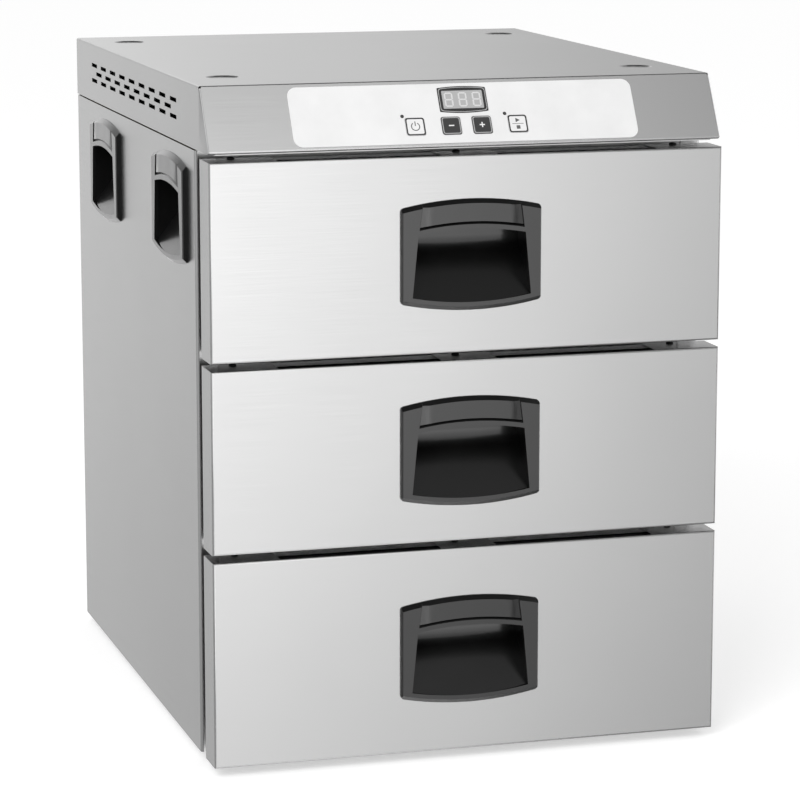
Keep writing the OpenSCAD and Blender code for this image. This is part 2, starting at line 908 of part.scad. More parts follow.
// Box of a drawer front with its four front edges rounded, moved inwards by a wall thickness
module front_box(i, wall, extra) {
    x = cabinet_w / 2 - wall;
    y0 = y_face + wall;
    y1 = y_front_back + extra;
    z0 = front_z[i] + wall;
    z1 = front_top(i) - wall;
    r = bend_r - wall;
    intersection() {
        translate([0, 0, z0]) linear_extrude(z1 - z0)
            polygon(rounded(box_points(-x, y0, x, y1), [r, r, 0, 0]));
        along_x(2 * x) polygon(rounded(box_points(y0, z0, y1, z1), [r, 0, 0, r]));
    }
}

// Folded sheet, open at the back. Its top is cut away between three tabs
module front_skin(i) {
    end_tab = cabinet_w / 2 - end_tab_w;
    z0 = front_top(i) - 1.5 * sheet;
    y0 = y_face + bend_r + 0.2;
    color("silver") difference() {
        front_box(i, 0, 0);
        front_box(i, sheet, 1);
        both_sides() block([middle_tab_w / 2, y0, z0], [end_tab, y_front_back + 1, z0 + 3 * sheet]);
        block(
            [-end_tab, y_face + slot_d + tab_lap, z0],
            [end_tab, y_front_back + 1, z0 + 3 * sheet]
        );
        on_front(i) cup_space(hole_gap);
    }
}

// Tray that closes the back of a front, one sheet inside the skin
module front_inner(i) {
    x = cabinet_w / 2 - sheet;
    z0 = front_z[i] + sheet;
    z1 = front_top(i) - sheet;
    color("gainsboro") difference() {
        block([-x, y_face + bend_r + slot_d, z0], [x, y_front_back, z1]);
        block(
            [-x + sheet, y_face, z0 + sheet],
            [x - sheet, y_front_back - sheet, z1 - sheet]
        );
    }
}

module front_core(i) {
    x = cabinet_w / 2 - 2 * sheet;
    color("khaki") difference() {
        block(
            [-x, y_face + bend_r + slot_d + 2, front_z[i] + 2 * sheet],
            [x, y_front_back - sheet, front_top(i) - 2 * sheet]
        );
        on_front(i) cup_space(1);
    }
}

module drawer_handle(i) {
    color("dimgray") on_front(i) pull_handle();
}

module handle_cap(i) {
    color("dimgray") on_front(i) grip_cap();
}

module carry_handles(s) {
    color("dimgray") on_side(s) pull_handle();
}

module carry_handle_caps() {
    color("dimgray") for (s = [-1, 1]) on_side(s) grip_cap();
}

// Seal round the opening, which it meets with the drawer shut
module door_seal(i) {
    w = liner_w + 2 * seal_margin;
    h = opening_h + 2 * seal_margin;
    color("dimgray") translate([0, 0, opening_z(i) + opening_h / 2])
        along_y(y_front_back, seal_gap + sheet - run_gap) difference() {
            round_rect(w + 2 * seal_w, h + 2 * seal_w, 10);
            round_rect(w, h, 6);
        }
}

// Ring that carries the pan by its rim, with sides that the slides are fixed to
module pan_frame(i) {
    x = frame_w / 2;
    z1 = frame_z(i);
    hole_w = pan_w - 2 * pan_rim + 2 * frame_ledge;
    hole_l = pan_l - 2 * pan_rim + 2 * frame_ledge;
    color("silver") difference() {
        block([-x, y_front_back, z1 - frame_drop], [x, y_front_back + frame_l, z1]);
        block(
            [-x + frame_t, y_front_back + frame_t, z1 - frame_drop - 1],
            [x - frame_t, y_front_back + frame_l - frame_t, z1 - frame_t]
        );
        translate([0, y_front_back + frame_front + pan_l / 2, z1 - 2 * frame_t])
            linear_extrude(3 * frame_t) round_rect(hole_w, hole_l, frame_hole_r);
    }
}

// Food pan: its wall profile runs round a rectangle with round corners
// Wall profile, from the rim inwards and down, moved inwards by a wall thickness
// Its x is the distance from the axis of a corner
function pan_side(wall) =
    let (
        top = [pan_corner - pan_rim - wall, -wall],
        low = [pan_corner - pan_rim - pan_draft - wall, wall - pan_depth],
        end = [0, wall - pan_depth]
    )
    concat([top], corner(top, low, end, pan_low_r - wall), [end]);

function reversed(list) = [for (i = [len(list) - 1:-1:0]) list[i]];

module pan_profile() {
    polygon(concat(
        [[pan_corner, -rim_t], [pan_corner, 0], [pan_corner - pan_rim - pan_wall, 0]],
        [for (p = pan_side(pan_wall)) if (p[1] < -pan_wall) p],
        reversed([for (p = pan_side(0)) if (p[1] < -pan_wall) p]),
        [[pan_corner - pan_rim, -pan_wall]],
        [[pan_corner - pan_wall, -pan_wall], [pan_corner - pan_wall, -rim_t]]
    ));
}

module food_pan(i) {
    half = [pan_w / 2, pan_l / 2];
    color("gainsboro") translate([0, y_front_back + frame_front + pan_l / 2, rim_z(i)]) union() {
        for (sx = [0, 1], sy = [0, 1]) mirror([sx, 0, 0]) mirror([0, sy, 0])
            translate([half[0] - pan_corner, half[1] - pan_corner, 0])
                rotate_extrude(angle = 90) pan_profile();
        for (k = [0, 1]) {
            length = 2 * (half[1 - k] - pan_corner);
            for (turn = [0, 180]) rotate([0, 0, turn + 90 * k]) translate([half[k] - pan_corner, 0, 0])
                rotate([90, 0, 0]) linear_extrude(length, center = true) pan_profile();
        }
        block(
            [pan_corner - half[0], pan_corner - half[1], -pan_depth],
            [half[0] - pan_corner, half[1] - pan_corner, pan_wall - pan_depth]
        );
    }
}

side_panel(-1);  // side_panel_left
side_panel(1);  // side_panel_right
back_panel();
base_pan();
front_frame();
cavity_liner();
insulation_slabs();
heater_mats();
temperature_probe();
hood();
hood_floor();
control_overlay();
display_window();
display_module();
control_board();
indicator_lamps();
power_board();
cable_gland();
rubber_feet();
case_screws();
carry_handles(-1);  // carry_handles_left
carry_handles(1);  // carry_handles_right
carry_handle_caps();
for (k = [0:3]) {
    key(k);
}
for (i = [0:2]) {
    outer_rails(i);
    middle_rails(i);
    inner_rails(i);
    front_skin(i);
    front_inner(i);
    front_core(i);
    drawer_handle(i);
    handle_cap(i);
    door_seal(i);
    pan_frame(i);
    food_pan(i);
}
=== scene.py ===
"""Looks of the hot cupboard: materials, printed and fitted details, floor, light and camera.

Everything is in metres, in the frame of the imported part: +Z up, the drawers open towards -Y.
"""
import json
import math

import bmesh
import bpy
from mathutils import Matrix, Vector


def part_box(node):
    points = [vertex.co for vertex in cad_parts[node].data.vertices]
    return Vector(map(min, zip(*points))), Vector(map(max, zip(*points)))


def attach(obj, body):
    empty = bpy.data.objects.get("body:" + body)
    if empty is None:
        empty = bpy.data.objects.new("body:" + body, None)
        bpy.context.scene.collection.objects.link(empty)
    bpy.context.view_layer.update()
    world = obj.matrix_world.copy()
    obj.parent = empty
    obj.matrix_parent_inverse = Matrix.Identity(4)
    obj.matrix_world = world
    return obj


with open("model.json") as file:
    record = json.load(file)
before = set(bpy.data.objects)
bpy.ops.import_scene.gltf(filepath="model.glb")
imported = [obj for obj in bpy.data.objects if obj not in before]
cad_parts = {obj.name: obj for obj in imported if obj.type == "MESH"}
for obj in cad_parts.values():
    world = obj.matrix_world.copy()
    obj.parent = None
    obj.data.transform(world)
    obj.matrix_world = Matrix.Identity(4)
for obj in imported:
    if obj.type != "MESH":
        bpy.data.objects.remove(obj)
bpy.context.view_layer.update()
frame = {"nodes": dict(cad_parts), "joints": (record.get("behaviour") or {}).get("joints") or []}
nodes = frame["nodes"]

MM = 0.001
LEVELS = ("bottom", "middle", "top")


# Node trees

# Most of a noise texture's values lie between these two
NOISE_LOW = 0.3
NOISE_HIGH = 0.7

# Where a mix node keeps its sockets for numbers and for colours
MIX_FACTOR = 0
MIX_NUMBERS = (2, 3)
MIX_COLOURS = (6, 7)
MIX_NUMBER_OUT = 0
MIX_COLOUR_OUT = 2


def add_node(tree, kind, **values):
    """A new node. A value goes to the input socket of that name, or else to the property."""
    made = tree.nodes.new(kind)
    for name, value in values.items():
        socket = made.inputs.get(name.replace("_", " "))
        if socket is not None:
            socket.default_value = value
        else:
            setattr(made, name, value)
    return made


def join(tree, source, target):
    tree.links.new(source, target)


def new_material(name, **values):
    """A principled material; returns it with its node tree and its shader."""
    material = bpy.data.materials.new(name)
    material.use_nodes = True
    tree = material.node_tree
    shader = tree.nodes["Principled BSDF"]
    for socket, value in values.items():
        shader.inputs[socket.replace("_", " ")].default_value = value
    return material, tree, shader


def grey(level):
    return (level, level, level, 1)


def noise(tree, scale, detail, stretch=(1, 1, 1)):
    """Noise over the object's own coordinates; the scale counts waves per metre."""
    place = add_node(tree, "ShaderNodeTexCoord")
    mapping = add_node(tree, "ShaderNodeMapping", Scale=stretch)
    texture = add_node(tree, "ShaderNodeTexNoise", Scale=scale, Detail=detail, Roughness=0.55)
    join(tree, place.outputs["Object"], mapping.inputs["Vector"])
    join(tree, mapping.outputs["Vector"], texture.inputs["Vector"])
    return texture.outputs["Fac"]


def spread(tree, source, low, high, start=NOISE_LOW, end=NOISE_HIGH):
    """Maps a number between start and end to a range from low to high."""
    mapped = add_node(tree, "ShaderNodeMapRange", From_Min=start, From_Max=end, To_Min=low, To_Max=high)
    join(tree, source, mapped.inputs["Value"])
    return mapped.outputs["Result"]


def smooth_step(tree, source, start, end, high=1.0):
    """Goes softly from 0 at the start to a height at the end."""
    mapped = add_node(tree, "ShaderNodeMapRange", interpolation_type="SMOOTHSTEP",
                      From_Min=start, From_Max=end, To_Min=0.0, To_Max=high)
    join(tree, source, mapped.inputs["Value"])
    return mapped.outputs["Result"]


def tint(tree, source, low, high):
    """Mixes two colours by a noise value."""
    ramp = add_node(tree, "ShaderNodeValToRGB")
    first, last = ramp.color_ramp.elements
    first.position, last.position = NOISE_LOW, NOISE_HIGH
    first.color, last.color = low, high
    join(tree, source, ramp.inputs["Fac"])
    return ramp.outputs["Color"]


def combined(tree, operation, one, two):
    """Joins two numbers by a mathematical operation."""
    made = add_node(tree, "ShaderNodeMath", operation=operation)
    join(tree, one, made.inputs[0])
    join(tree, two, made.inputs[1])
    return made.outputs[0]


def cosine_to(tree, vector, direction):
    """Cosine of the angle between a unit vector and a fixed direction."""
    made = add_node(tree, "ShaderNodeVectorMath", operation="DOT_PRODUCT")
    join(tree, vector, made.inputs[0])
    made.inputs[1].default_value = direction
    return made.outputs["Value"]


def turned_to(tree, direction, start, end):
    """How far the surface faces a direction: 0 below one cosine of the angle, 1 above another."""
    surface = add_node(tree, "ShaderNodeNewGeometry")
    return spread(tree, cosine_to(tree, surface.outputs["Normal"], direction), 0.0, 1.0, start, end)


def mirrored_rays(tree, path):
    """1 for rays that a surface reflects or lets through, 0 for the others."""
    return combined(tree, "MAXIMUM", path.outputs["Is Glossy Ray"], path.outputs["Is Transmission Ray"])


# Materials

# Cosines between which a face that faces one way gets painted shade, and the grey of that painted shade,
# which stands in for the shade in the gaps next to such faces
SHADE_FACING = (0.8, 0.9)
SHADE_GREY = 0.02

# Cosines between which a face of a handle turns dull, and the share of gloss that is left there
DULL_FACE = (0.7, 0.85)
DULL_GLOSS = 0.1

# Stretch of the fine scratches of sheet that is brushed along X or along Y
GRAIN_X = (12, 2600, 2600)
GRAIN_Y = (2600, 12, 2600)


def vary_grey(tree, shader, source, level, shares):
    """Varies the colour between two shares of a grey level."""
    low, high = (grey(level * share) for share in shares)
    join(tree, tint(tree, source, low, high), shader.inputs["Base Color"])


def vary_roughness(tree, shader, source, rough, shares):
    """Varies the roughness between two shares of its value."""
    low, high = (rough * share for share in shares)
    join(tree, spread(tree, source, low, high), shader.inputs["Roughness"])


def add_bump(tree, shader, source, depth):
    bump = add_node(tree, "ShaderNodeBump", Strength=1.0, Distance=depth)
    join(tree, source, bump.inputs["Height"])
    join(tree, bump.outputs["Normal"], shader.inputs["Normal"])


def steel(name, level, rough, grain):
    """Brushed stainless sheet; grain is the stretch of its fine scratches along X, Y and Z."""
    material, tree, shader = new_material(name, Metallic=1.0)
    cloud = noise(tree, scale=5, detail=2)
    scratch = noise(tree, scale=1, detail=4, stretch=grain)
    vary_grey(tree, shader, cloud, level, shares=(0.985, 1.015))
    vary_roughness(tree, shader, scratch, rough, shares=(0.9, 1.12))
    add_bump(tree, shader, scratch, depth=0.0015 * MM)
    return material


def painted_shade_steel(name, level, rough, grain, facing):
    """Sheet whose faces that face one way are painted dark: painted shade for the gaps and seams next to
    them, not a property of the steel.
    """
    material = steel(name, level, rough, grain)
    tree = material.node_tree
    base = tree.nodes["Principled BSDF"].inputs["Base Color"]
    sheet_colour = base.links[0].from_socket
    colour = add_node(tree, "ShaderNodeMix", data_type="RGBA")
    sheet, edge = (colour.inputs[k] for k in MIX_COLOURS)
    # Painted shade: faces turned the given way are mixed to a dark grey
    join(tree, turned_to(tree, facing, *SHADE_FACING), colour.inputs[MIX_FACTOR])
    join(tree, sheet_colour, sheet)
    edge.default_value = grey(SHADE_GREY)
    join(tree, colour.outputs[MIX_COLOUR_OUT], base)
    return material


def moulded(name, level, rough, pebble, depth, **values):
    """Moulded plastic or rubber with a fine pebbled skin; pebble counts its waves per metre."""
    material, tree, shader = new_material(name, **values)
    skin = noise(tree, scale=pebble, detail=4)
    cloud = noise(tree, scale=30, detail=3)
    vary_grey(tree, shader, cloud, level, shares=(0.97, 1.03))
    vary_roughness(tree, shader, cloud, rough, shares=(0.9, 1.1))
    add_bump(tree, shader, skin, depth)
    return material


def handle_moulding(name, coat_ior, dull):
    """Black moulding with a glossy skin, which is dull where it faces one way."""
    material = moulded(name, level=0.003, rough=0.32, pebble=1500, depth=0.005 * MM, Coat_Roughness=0.14,
                       Coat_IOR=coat_ior, Sheen_Weight=0.5, Sheen_Roughness=0.15)
    tree = material.node_tree
    dullness = turned_to(tree, dull, *DULL_FACE)
    gloss = spread(tree, dullness, low=1.0, high=DULL_GLOSS, start=0.0, end=1.0)
    join(tree, gloss, tree.nodes["Principled BSDF"].inputs["Coat Weight"])
    return material


def printed(name, level, rough=0.45):
    """Ink or film, with the slight mottle of a printed layer."""
    material, tree, shader = new_material(name)
    mottle = noise(tree, scale=900, detail=2)
    vary_grey(tree, shader, mottle, level, shares=(0.96, 1.03))
    vary_roughness(tree, shader, mottle, rough, shares=(0.9, 1.1))
    return material


def mineral_wool(name, low, high):
    """Matted fibres between two colours."""
    material, tree, shader = new_material(name, Roughness=0.95)
    fibre = noise(tree, scale=60, detail=6, stretch=(1, 9, 9))
    cross = noise(tree, scale=60, detail=6, stretch=(9, 9, 1))
    join(tree, tint(tree, fibre, low, high), shader.inputs["Base Color"])
    add_bump(tree, shader, combined(tree, "MULTIPLY", fibre, cross), depth=1.5 * MM)
    return material


def silicone_mat(name, low, high):
    """Heater mat between two colours, with the ridges of its embedded wire."""
    material, tree, shader = new_material(name, Roughness=0.6)
    place = add_node(tree, "ShaderNodeTexCoord")
    wire = add_node(tree, "ShaderNodeTexWave", Scale=14.0, Distortion=0.4, bands_direction="Z")
    join(tree, place.outputs["Object"], wire.inputs["Vector"])
    join(tree, tint(tree, wire.outputs["Fac"], low, high), shader.inputs["Base Color"])
    add_bump(tree, shader, wire.outputs["Fac"], depth=0.6 * MM)
    return material


def circuit_board(name):
    """Green solder mask over copper tracks."""
    material, tree, shader = new_material(name, Roughness=0.4)
    place = add_node(tree, "ShaderNodeTexCoord")
    tracks = add_node(tree, "ShaderNodeTexBrick", Scale=120.0, Mortar_Size=0.06,
                      Color1=(0.03, 0.16, 0.07, 1), Color2=(0.04, 0.20, 0.09, 1),
                      Mortar=(0.10, 0.34, 0.16, 1))
    join(tree, place.outputs["Object"], tracks.inputs["Vector"])
    join(tree, tracks.outputs["Color"], shader.inputs["Base Color"])
    add_bump(tree, shader, tracks.outputs["Fac"], depth=0.05 * MM)
    return material


front_steel = steel("front_steel", level=0.74, rough=0.24, grain=GRAIN_X)
# Faces of the side panels turned up, such as their top edges under the hood, get painted shade for the seam
side_steel = painted_shade_steel("side_steel", level=0.73, rough=0.24, grain=GRAIN_Y, facing=(0, 0, 1))
hood_steel = steel("hood_steel", level=0.73, rough=0.24, grain=GRAIN_X)
inner_steel = steel("inner_steel", level=0.68, rough=0.30, grain=GRAIN_Y)
# Faces of the drawer fronts' inner sheet turned to the front, such as the flange edges in the gaps over the
# drawers, get painted shade
tray_sheet = painted_shade_steel("tray_sheet", level=0.68, rough=0.30, grain=GRAIN_X, facing=(0, -1, 0))
pan_steel = steel("pan_steel", level=0.74, rough=0.22, grain=GRAIN_Y)
rail_steel = steel("rail_steel", level=0.64, rough=0.38, grain=GRAIN_Y)
pull_plastic = handle_moulding("pull_plastic", coat_ior=1.65, dull=(0, -0.5, 0.866))
carry_plastic = handle_moulding("carry_plastic", coat_ior=1.9, dull=(0, -1, 0))
gland_plastic = moulded("gland_plastic", level=0.03, rough=0.5, pebble=1200, depth=0.03 * MM)
rubber = moulded("rubber", level=0.03, rough=0.75, pebble=700, depth=0.06 * MM)
overlay_film = moulded("overlay_film", level=0.86, rough=0.35, pebble=2500, depth=0.004 * MM)
dark_key = moulded("dark_key", level=0.045, rough=0.4, pebble=2500, depth=0.01 * MM)
window_film = moulded("window_film", level=0.02, rough=0.12, pebble=60, depth=0.001 * MM)
lamp_lens = moulded("lamp_lens", level=0.05, rough=0.15, pebble=400, depth=0.002 * MM)
# Black oxide on the tab screws; the same material paints the shade of the cross recesses in the case screws
black_oxide_and_shade = moulded("black_oxide_and_shade", level=0.012, rough=0.42, pebble=900, depth=0.02 * MM)
insulation = mineral_wool("insulation", low=(0.48, 0.41, 0.22, 1), high=(0.80, 0.74, 0.52, 1))
black_fleece = mineral_wool("black_fleece", low=grey(0.012), high=grey(0.03))
heater = silicone_mat("heater", low=(0.42, 0.09, 0.05, 1), high=(0.60, 0.16, 0.08, 1))
board = circuit_board("board")
dark_ink = printed("dark_ink", level=0.03)
grey_ink = printed("grey_ink", level=0.13)
pale_ink = printed("pale_ink", level=0.42)
white_ink = printed("white_ink", level=0.85)
display_grey = printed("display_grey", level=0.46, rough=0.3)
digit_pale = printed("digit_pale", level=0.70, rough=0.3)

NODE_LOOKS = {
    "side_panel_left": side_steel, "side_panel_right": side_steel, "back_panel": side_steel,
    "base_pan": side_steel, "front_frame": inner_steel, "cavity_liner": inner_steel,
    "insulation_slabs": insulation, "heater_mats": heater, "temperature_probe": rail_steel,
    "hood": hood_steel, "hood_floor": inner_steel, "control_overlay": overlay_film,
    "display_window": window_film, "display_module": window_film, "control_board": board,
    "indicator_lamps": lamp_lens, "power_board": board, "cable_gland": gland_plastic,
    "rubber_feet": rubber, "case_screws": rail_steel, "carry_handles_left": carry_plastic,
    "carry_handles_right": carry_plastic, "carry_handle_caps": carry_plastic,
    "key_power": overlay_film, "key_minus": dark_key, "key_plus": dark_key, "key_start": overlay_film,
}
DRAWER_LOOKS = {
    "outer_rails": rail_steel, "middle_rails": rail_steel, "inner_rails": rail_steel,
    "front_skin": front_steel, "front_inner": tray_sheet, "front_core": black_fleece,
    "drawer_handle": pull_plastic, "handle_cap": pull_plastic, "door_seal": rubber,
    "pan_frame": inner_steel, "food_pan": pan_steel,
}


# Shading of the solids: bends are smooth, true edges stay sharp

WELD_GAP = 0.002 * MM
SHARP_ANGLE = math.radians(32)


def smooth_bends_group():
    """Geometry nodes that join split corners and shade smooth up to an edge angle."""
    group = bpy.data.node_groups.new("smooth_bends", "GeometryNodeTree")
    for way in ("INPUT", "OUTPUT"):
        group.interface.new_socket("Geometry", in_out=way, socket_type="NodeSocketGeometry")
    start = add_node(group, "NodeGroupInput")
    weld = add_node(group, "GeometryNodeMergeByDistance", Distance=WELD_GAP)
    plain = add_node(group, "GeometryNodeRemoveAttribute", Name="custom_normal")
    faces = add_node(group, "GeometryNodeSetShadeSmooth", domain="FACE")
    edges = add_node(group, "GeometryNodeSetShadeSmooth", domain="EDGE", Shade_Smooth=False)
    end = add_node(group, "NodeGroupOutput")
    chain = (start, weld, plain, faces, edges, end)
    for one, two in zip(chain, chain[1:]):
        join(group, one.outputs["Geometry"], two.inputs["Geometry"])
    angle = add_node(group, "GeometryNodeInputMeshEdgeAngle")
    sharp = add_node(group, "FunctionNodeCompare", data_type="FLOAT", operation="GREATER_THAN", B=SHARP_ANGLE)
    join(group, angle.outputs["Unsigned Angle"], sharp.inputs["A"])
    join(group, sharp.outputs["Result"], edges.inputs["Selection"])
    return group


smooth_bends = smooth_bends_group()


def dress(node, material):
    """Gives a CAD node its material and smooth bends with flat faces kept flat."""
    obj = nodes[node]
    obj.data.materials.clear()
    obj.data.materials.append(material)
    obj.modifiers.new("smooth_bends", "NODES").node_group = smooth_bends
    weighted = obj.modifiers.new("flat_faces", "WEIGHTED_NORMAL")
    weighted.keep_sharp = True
    weighted.weight = 100


for node_name, look in NODE_LOOKS.items():
    dress(node_name, look)
for level in LEVELS:
    for kind, look in DRAWER_LOOKS.items():
        dress(f"{kind}_{level}", look)


# Outlines, as lists of points

def rounded_rect(width, height, radius, bow=0.0, steps=6, splits=12):
    """Outline of a rectangle with round corners, whose long sides may bow outwards in the middle."""
    points = []
    corners = [(1, 1, 0), (-1, 1, 90), (-1, -1, 180), (1, -1, 270)]
    for across, up, start in corners:
        centre = Vector((across * (width / 2 - radius), up * (height / 2 - radius)))
        for k in range(steps + 1):
            turn = math.radians(start + 90 * k / steps)
            points.append(centre + radius * Vector((math.cos(turn), math.sin(turn))))
        if across == up:
            run = width - 2 * radius
            for k in range(1, splits):
                points.append(Vector((across * (run / 2 - run * k / splits), up * height / 2)))
    return [(p.x, p.y + math.copysign(bow * (1 - (2 * p.x / width) ** 2), p.y)) for p in points]


def bar(width, height, x=0.0, y=0.0):
    """Outline of a rectangle round a point."""
    return [(x + sx * width / 2, y + sy * height / 2) for sx, sy in ((-1, -1), (1, -1), (1, 1), (-1, 1))]


def arc_band(outer, inner, start, end, steps=32):
    """Outline of a piece of a ring between two angles, in degrees."""
    turns = [math.radians(start + (end - start) * k / steps) for k in range(steps + 1)]
    rim = [(outer * math.cos(t), outer * math.sin(t)) for t in turns]
    return rim + [(inner * math.cos(t), inner * math.sin(t)) for t in reversed(turns)]


# Pieces

def add_piece(name, build, material, body):
    """A mesh piece made by a function that fills a bmesh; it rides on a body of the part."""
    mesh = bpy.data.meshes.new(name)
    shape = bmesh.new()
    build(shape)
    bmesh.ops.recalc_face_normals(shape, faces=shape.faces)
    shape.to_mesh(mesh)
    shape.free()
    mesh.materials.append(material)
    piece = bpy.data.objects.new(name, mesh)
    bpy.context.scene.collection.objects.link(piece)
    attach(piece, body)
    return piece


def add_plate(shape, place, loops, low, high):
    """A flat plate between two heights, from one outline, or from an outer and an inner one."""
    rings = [[[shape.verts.new(place @ Vector((x, y, h))) for x, y in loop] for loop in loops]
             for h in (low, high)]
    count = len(loops[0])
    for below, above in zip(*rings):
        for k in range(count):
            n = (k + 1) % count
            shape.faces.new((below[k], below[n], above[n], above[k]))
    for ring in rings:
        if len(ring) == 1:
            shape.faces.new(ring[0])
            continue
        for k in range(count):
            n = (k + 1) % count
            shape.faces.new((ring[0][k], ring[0][n], ring[1][n], ring[1][k]))


def plates(name, place, outlines, low, high, material, body):
    """One piece of several flat plates; each is a list of one outline, or of an outer and an inner one."""
    def build(shape):
        for loops in outlines:
            add_plate(shape, place, loops, low, high)
    return add_piece(name, build, material, body)


def add_lathe(shape, place, profile, steps=32):
    """A turned form round the local Z axis from a profile of (radius, height) that starts and ends on it."""
    turns = [2 * math.pi * k / steps for k in range(steps)]
    rings = []
    for radius, height in profile:
        if radius == 0:
            rings.append([shape.verts.new(place @ Vector((0, 0, height)))])
            continue
        rings.append([shape.verts.new(place @ Vector((radius * math.cos(t), radius * math.sin(t), height)))
                      for t in turns])
    for one, two in zip(rings, rings[1:]):
        for k in range(steps):
            n = (k + 1) % steps
            corners = [one[k % len(one)], one[n % len(one)], two[n % len(two)], two[k % len(two)]]
            shape.faces.new(list(dict.fromkeys(corners)))


def shade_smooth(piece):
    for face in piece.data.polygons:
        face.use_smooth = True


# Sloped control panel: x across, y up the slope, z out of it

press = next(j for j in frame["joints"] if j["name"] == "key_power_press")
outward = -Vector(press["axis"]).normalized()
across = Vector((1, 0, 0))
upward = outward.cross(across)
slope = Matrix((across, upward, outward)).transposed().to_4x4()

# Prints start a little below a surface and end a little above it
INK_LOW = -0.02 * MM
INK_HIGH = 0.06 * MM


def slope_box(node):
    """Lowest and highest corner of a CAD node in the frame of the sloped panel."""
    points = [slope.transposed() @ v.co for v in nodes[node].data.vertices]
    low = Vector([min(p[k] for p in points) for k in range(3)])
    high = Vector([max(p[k] for p in points) for k in range(3)])
    return low, high


def slope_place(node):
    """Matrix to the middle of a node's face on the panel."""
    low, high = slope_box(node)
    return slope @ Matrix.Translation(((low.x + high.x) / 2, (low.y + high.y) / 2, high.z))


def key_size():
    """Width and height of a key's visible cap, without the wider foot behind the panel."""
    low, high = slope_box("key_power")
    foot = 3 * MM
    return high.x - low.x - foot, high.y - low.y - foot


def add_key_borders():
    """A printed frame near the edge of each key."""
    width, height = key_size()
    corner_r, corner_share = 2.5 * MM, 0.6
    inner_inset = 1.4 * MM
    white_key, black_key = (dark_ink, 0.1 * MM), (pale_ink, 0.5 * MM)
    borders = {"power": white_key, "start": white_key, "minus": black_key, "plus": black_key}
    for key, (ink, outer_inset) in borders.items():
        ring = [rounded_rect(width - 2 * inset, height - 2 * inset, corner_r - inset * corner_share)
                for inset in (outer_inset, inner_inset)]
        plates(f"key_border_{key}", slope_place(f"key_{key}"), [ring], INK_LOW, INK_HIGH, ink,
               f"button_{key}")


def power_mark():
    """An open ring with an upright stroke in its gap."""
    stroke, ring_r = 0.9 * MM, 4.4 * MM
    ring = arc_band(ring_r, ring_r - stroke, start=122, end=418)
    upright = bar(stroke, height=4.6 * MM, y=2.9 * MM)
    return [[ring], [upright]]


def sign_mark(arms):
    """A minus sign, with arms above and below it for a plus."""
    half, thick = 2.6 * MM, 1.2 * MM
    stub = half - thick / 2
    return [[bar(2 * half, thick)]] + [[bar(thick, stub, y=arm * (thick + stub) / 2)] for arm in arms]


def start_mark():
    """A play sign over a stop sign, with a line between them."""
    left, right = -1.9 * MM, 2.3 * MM
    play = [(left, 1.4 * MM), (right, 3.6 * MM), (left, 5.8 * MM)]
    line = bar(11 * MM, 0.5 * MM)
    stop = bar(3.6 * MM, 3.6 * MM, y=-3.6 * MM)
    return [[play], [line], [stop]]


def add_key_marks():
    """The printed sign on each key."""
    marks = {"power": (power_mark(), grey_ink), "minus": (sign_mark(arms=()), white_ink),
             "plus": (sign_mark(arms=(1, -1)), white_ink), "start": (start_mark(), grey_ink)}
    for key, (mark, ink) in marks.items():
        plates(f"key_mark_{key}", slope_place(f"key_{key}"), mark, INK_LOW, INK_HIGH, ink,
               f"button_{key}")


def segment(length, thick, x, y, upright):
    """Bar of a seven-segment digit with pointed ends."""
    h, t = length / 2, thick / 2
    points = [(-h, 0), (-h + t, -t), (h - t, -t), (h, 0), (h - t, t), (-h + t, t)]
    return [(x - b, y + a) if upright else (x + a, y + b) for a, b in points]


def digit(x, width, height, thick):
    """All seven segments of one digit."""
    w, h = width - thick, height - thick
    gap = 0.25 * MM
    flat, tall = w - gap, h / 2 - gap
    bars = [segment(flat, thick, x, y, False) for y in (-h / 2, 0, h / 2)]
    bars += [segment(tall, thick, x + sx * w / 2, sy * h / 4, True) for sx in (-1, 1) for sy in (-1, 1)]
    return [[b] for b in bars]


def add_display():
    """Edge line, screen and three figures of the display window."""
    low, high = slope_box("display_window")
    place = slope_place("display_window")
    bow, corner_r = 1.4 * MM, 2.6 * MM
    width, height = high.x - low.x, high.y - low.y - 2 * bow
    edge = [rounded_rect(width - 2 * inset, height - 2 * inset, corner_r, bow)
            for inset in (0.7 * MM, 1.35 * MM)]
    plates("display_edge", place, [edge], INK_LOW, INK_HIGH, pale_ink, "cabinet")
    screen = rounded_rect(width=39.5 * MM, height=18.3 * MM, radius=0.8 * MM)
    plates("display_screen", place, [[screen]], INK_LOW, INK_HIGH, display_grey, "cabinet")
    pitch = 13.6 * MM
    figures = []
    for k in (-1, 0, 1):
        figures += digit(k * pitch, width=8.4 * MM, height=14.8 * MM, thick=1.5 * MM)
    plates("display_digits", place, figures, INK_HIGH / 2, 2 * INK_HIGH, digit_pale, "cabinet")


# Dome-headed screws on the tabs of the drawer fronts

def add_tab_screws():
    """Three screws per drawer, all a little left of the middle of their tabs, as in the photo."""
    head_r, head_h = 3.7 * MM, 2.1 * MM
    rim_h, sunk = 0.5 * MM, -0.1 * MM
    steps = 8
    turns = [math.pi / 2 * k / steps for k in range(steps)]
    dome = [(head_r * math.cos(t), rim_h + (head_h - rim_h) * math.sin(t)) for t in turns]
    profile = [(0, sunk), (head_r, sunk), *dome, (0, head_h)]
    inset_x, inset_y = 33 * MM, 32 * MM
    shift = -5 * MM
    for level in LEVELS:
        low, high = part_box(f"front_skin_{level}")

        def build(shape):
            for x in (low.x + inset_x, 0, high.x - inset_x):
                add_lathe(shape, Matrix.Translation((x + shift, low.y + inset_y, high.z)), profile)

        screws = add_piece(f"tab_screws_{level}", build, black_oxide_and_shade, f"drawer_{level}")
        shade_smooth(screws)
